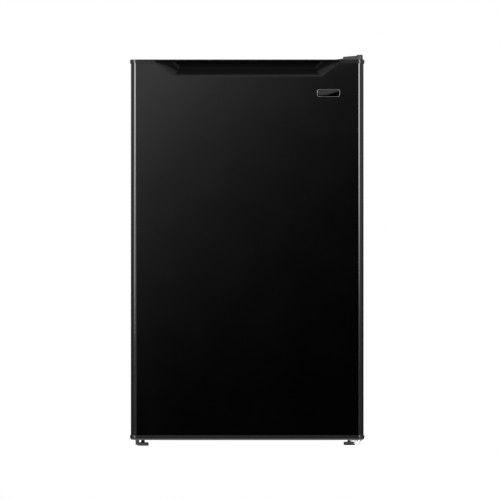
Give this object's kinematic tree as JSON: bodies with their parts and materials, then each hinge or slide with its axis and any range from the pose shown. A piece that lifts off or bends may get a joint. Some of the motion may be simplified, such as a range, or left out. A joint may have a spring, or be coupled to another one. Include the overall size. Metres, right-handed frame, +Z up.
{
  "type": "compact refrigerator",
  "caption": "Compact single-door refrigerator with pocket handle, inner freezer box, glass shelves, crisper drawer, door bins and a rear wire condenser.",
  "frame": {"origin": "on the floor, under the middle of the overall box", "axes": "+Z up, +X towards the hinge side (the viewer's right), -Y towards the front of the door"},
  "size_m": [0.472, 0.51, 0.789],
  "materials": {
    "black_steel": "fine textured black paint",
    "gloss_black_steel": "high gloss black paint",
    "galvanised_steel": "galvanised, dull",
    "zinc_steel": "bright zinc plate",
    "dark_steel": "satin black paint",
    "foam": "rigid polyurethane foam",
    "white_liner": "satin white moulded liner",
    "white_plastic": "smooth white plastic",
    "black_plastic": "fine grained black plastic",
    "matte_black_plastic": "dull black plastic",
    "clear_plastic": "clear bluish plastic",
    "shelf_glass": "clear tempered glass",
    "freezer_aluminium": "satin roll-bonded aluminium",
    "copper": "drawn copper, lightly tarnished",
    "red_plastic": "glossy red plastic",
    "black_rubber": "soft black rubber",
    "magnet": "dull magnetic strip",
    "acetal": "natural acetal",
    "badge": "brushed silver plate, blank",
    "grey_plastic": "grey plastic"
  },
  "bodies": {
    "cabinet": {"outer_shell": "black_steel", "base_plate": "galvanised_steel", "bay_panel": "galvanised_steel", "back_panel": "dark_steel", "insulation_foam": "foam", "inner_liner": "white_liner", "compressor_plate": "dark_steel", "rear_screws": "zinc_steel", "rear_feet": "matte_black_plastic", "left_foot_bracket": "dark_steel", "lower_hinge_bracket": "zinc_steel", "lower_bracket_screws": "zinc_steel", "top_hinge_bracket": "zinc_steel", "top_hinge_screws": "zinc_steel", "top_hinge_cover": "black_plastic", "hinge_hole_plugs": "matte_black_plastic", "evaporator_box": "freezer_aluminium", "evaporator_clips": "white_plastic", "freezer_front_frame": "white_plastic", "crisper_lid_glass": "shelf_glass", "crisper_lid_trim": "white_plastic", "thermostat_housing": "white_plastic", "thermostat_switch": "grey_plastic", "sensor_bulb": "copper", "compressor": "dark_steel", "compressor_grommets": "black_rubber", "compressor_bolts": "zinc_steel", "relay_cover": "matte_black_plastic", "discharge_tube": "copper", "condenser_tube": "dark_steel", "condenser_wires": "dark_steel", "condenser_brackets": "matte_black_plastic", "filter_drier": "copper", "capillary_tube": "copper", "suction_line": "copper", "tube_seal": "black_rubber", "gland_bracket": "galvanised_steel", "cord_gland": "matte_black_plastic"},
    "door": {"door_skin": "gloss_black_steel", "door_top_cap": "black_plastic", "door_bottom_cap": "black_plastic", "door_foam": "foam", "door_liner": "white_liner", "door_gasket": "black_rubber", "gasket_magnets": "magnet", "door_bushings": "acetal", "door_bins": "clear_plastic", "bottle_bin": "clear_plastic", "door_badge": "badge"},
    "flap": {"freezer_flap": "clear_plastic"},
    "tray": {"drip_tray": "clear_plastic"},
    "upper_shelf": {"upper_shelf_glass": "shelf_glass", "upper_shelf_trim": "white_plastic"},
    "lower_shelf": {"lower_shelf_glass": "shelf_glass", "lower_shelf_trim": "white_plastic"},
    "crisper": {"crisper_drawer": "clear_plastic"},
    "knob": {"thermostat_knob": "white_plastic"},
    "button": {"defrost_button": "red_plastic"},
    "foot_left": {"levelling_foot_left": "matte_black_plastic"},
    "foot_right": {"levelling_foot_right": "matte_black_plastic"}
  },
  "joints": [
    {"name": "door_hinge", "type": "hinge", "parent": "cabinet", "child": "door", "pos_m": [0.222, -0.233, 0.4], "axis": [0, 0, 1], "range_deg": [0, 120]},
    {"name": "freezer_flap_hinge", "type": "hinge", "parent": "cabinet", "child": "flap", "pos_m": [0, -0.0675, 0.713], "axis": [-1, 0, 0], "range_deg": [0, 85]},
    {"name": "drip_tray_slide", "type": "slide", "parent": "cabinet", "child": "tray", "axis": [0, -1, 0], "range_m": [0, 0.12]},
    {"name": "upper_shelf_slide", "type": "slide", "parent": "cabinet", "child": "upper_shelf", "axis": [0, -1, 0], "range_m": [0, 0.09]},
    {"name": "lower_shelf_slide", "type": "slide", "parent": "cabinet", "child": "lower_shelf", "axis": [0, -1, 0], "range_m": [0, 0.09]},
    {"name": "crisper_slide", "type": "slide", "parent": "cabinet", "child": "crisper", "axis": [0, -1, 0], "range_m": [0, 0.1]},
    {"name": "thermostat_knob_turn", "type": "hinge", "parent": "cabinet", "child": "knob", "pos_m": [0.165, 0.01, 0.542], "axis": [-1, 0, 0], "range_deg": [0, 270]},
    {"name": "defrost_button_press", "type": "slide", "parent": "knob", "child": "button", "axis": [1, 0, 0], "range_m": [0, 0.003], "stiffness_N_per_m": 600, "springref_m": -0.001},
    {"name": "levelling_foot_left_turn", "type": "hinge", "parent": "cabinet", "child": "foot_left", "pos_m": [-0.211, -0.186, 0], "axis": [0, 0, 1], "continuous": true},
    {"name": "levelling_foot_right_turn", "type": "hinge", "parent": "cabinet", "child": "foot_right", "pos_m": [0.207, -0.154, 0], "axis": [0, 0, 1], "continuous": true}
  ],
  "couplings": [
    {"joint": "drip_tray_slide", "follows": "door_hinge", "m_per_rad": 0.0572},
    {"joint": "upper_shelf_slide", "follows": "door_hinge", "m_per_rad": 0.0429},
    {"joint": "lower_shelf_slide", "follows": "door_hinge", "m_per_rad": 0.0429},
    {"joint": "crisper_slide", "follows": "door_hinge", "m_per_rad": 0.0477}
  ]
}
